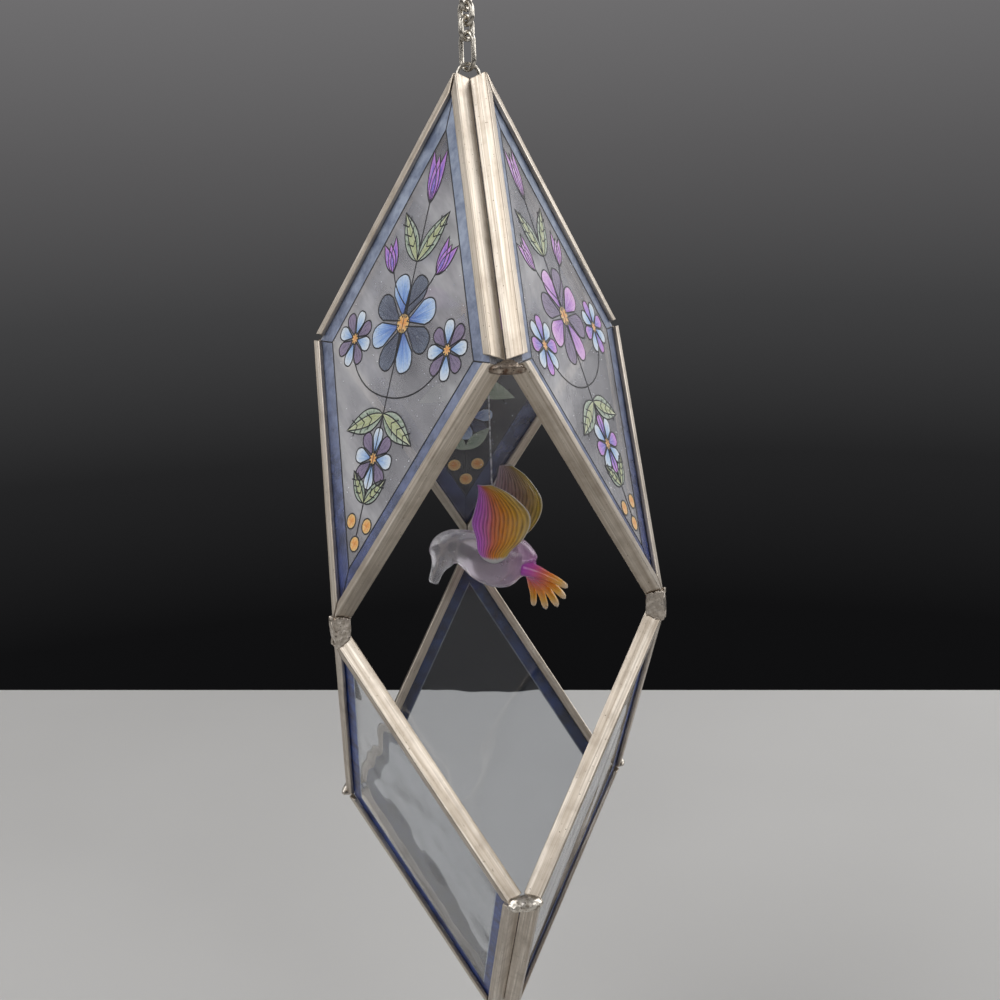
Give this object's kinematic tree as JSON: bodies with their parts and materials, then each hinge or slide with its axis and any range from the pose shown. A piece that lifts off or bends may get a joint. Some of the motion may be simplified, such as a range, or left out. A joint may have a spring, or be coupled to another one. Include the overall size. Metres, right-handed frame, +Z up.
{
  "type": "suncatcher mobile",
  "caption": "Six-pane leaded glass lantern, open on three sides, hung on a chain with a blown glass bird on a thread inside.",
  "frame": {"origin": "inside top of the hanging ring, where it bears on a hook", "axes": "+Z up; the open front with its front corner faces -Y; +X to the right seen from the front"},
  "size_m": [0.0845, 0.0952, 0.3063],
  "materials": {
    "painted_glass": "glossy, painted",
    "clear_glass": "glossy, hand rolled",
    "bird_glass": "glossy, flame worked",
    "came": "satin",
    "solder": "bright, uneven",
    "chain": "polished",
    "nylon": "clear"
  },
  "bodies": {
    "root": {"pane_upper_left": "painted_glass", "came_upper_left_ridge_1": "came", "came_upper_left_ridge_2": "came", "came_upper_left_open_1": "came", "came_upper_left_open_2": "came", "pane_upper_right": "painted_glass", "came_upper_right_ridge_1": "came", "came_upper_right_ridge_2": "came", "came_upper_right_open_1": "came", "came_upper_right_open_2": "came", "pane_upper_back": "painted_glass", "came_upper_back_ridge_1": "came", "came_upper_back_ridge_2": "came", "came_upper_back_open_1": "came", "came_upper_back_open_2": "came", "pane_lower_left": "clear_glass", "came_lower_left_ridge_1": "came", "came_lower_left_ridge_2": "came", "came_lower_left_open_1": "came", "came_lower_left_open_2": "came", "pane_lower_right": "clear_glass", "came_lower_right_ridge_1": "came", "came_lower_right_ridge_2": "came", "came_lower_right_open_1": "came", "came_lower_right_open_2": "came", "pane_lower_back": "clear_glass", "came_lower_back_ridge_1": "came", "came_lower_back_ridge_2": "came", "came_lower_back_open_1": "came", "came_lower_back_open_2": "came", "solder_shoulder_front": "solder", "solder_waist_front": "solder", "solder_shoulder_right": "solder", "solder_waist_right": "solder", "solder_shoulder_left": "solder", "solder_waist_left": "solder", "solder_hip_left": "solder", "solder_hip_right": "solder", "solder_hip_back": "solder", "solder_apex": "solder", "solder_nadir": "solder", "bail": "chain", "jump_ring": "chain", "hanging_ring": "chain", "chain_link_1": "chain", "chain_link_2": "chain", "chain_link_3": "chain", "chain_link_4": "chain", "chain_link_5": "chain", "chain_link_6": "chain", "chain_link_7": "chain", "chain_link_8": "chain", "chain_link_9": "chain", "bird": "bird_glass", "thread": "nylon"}
  },
  "joints": []
}
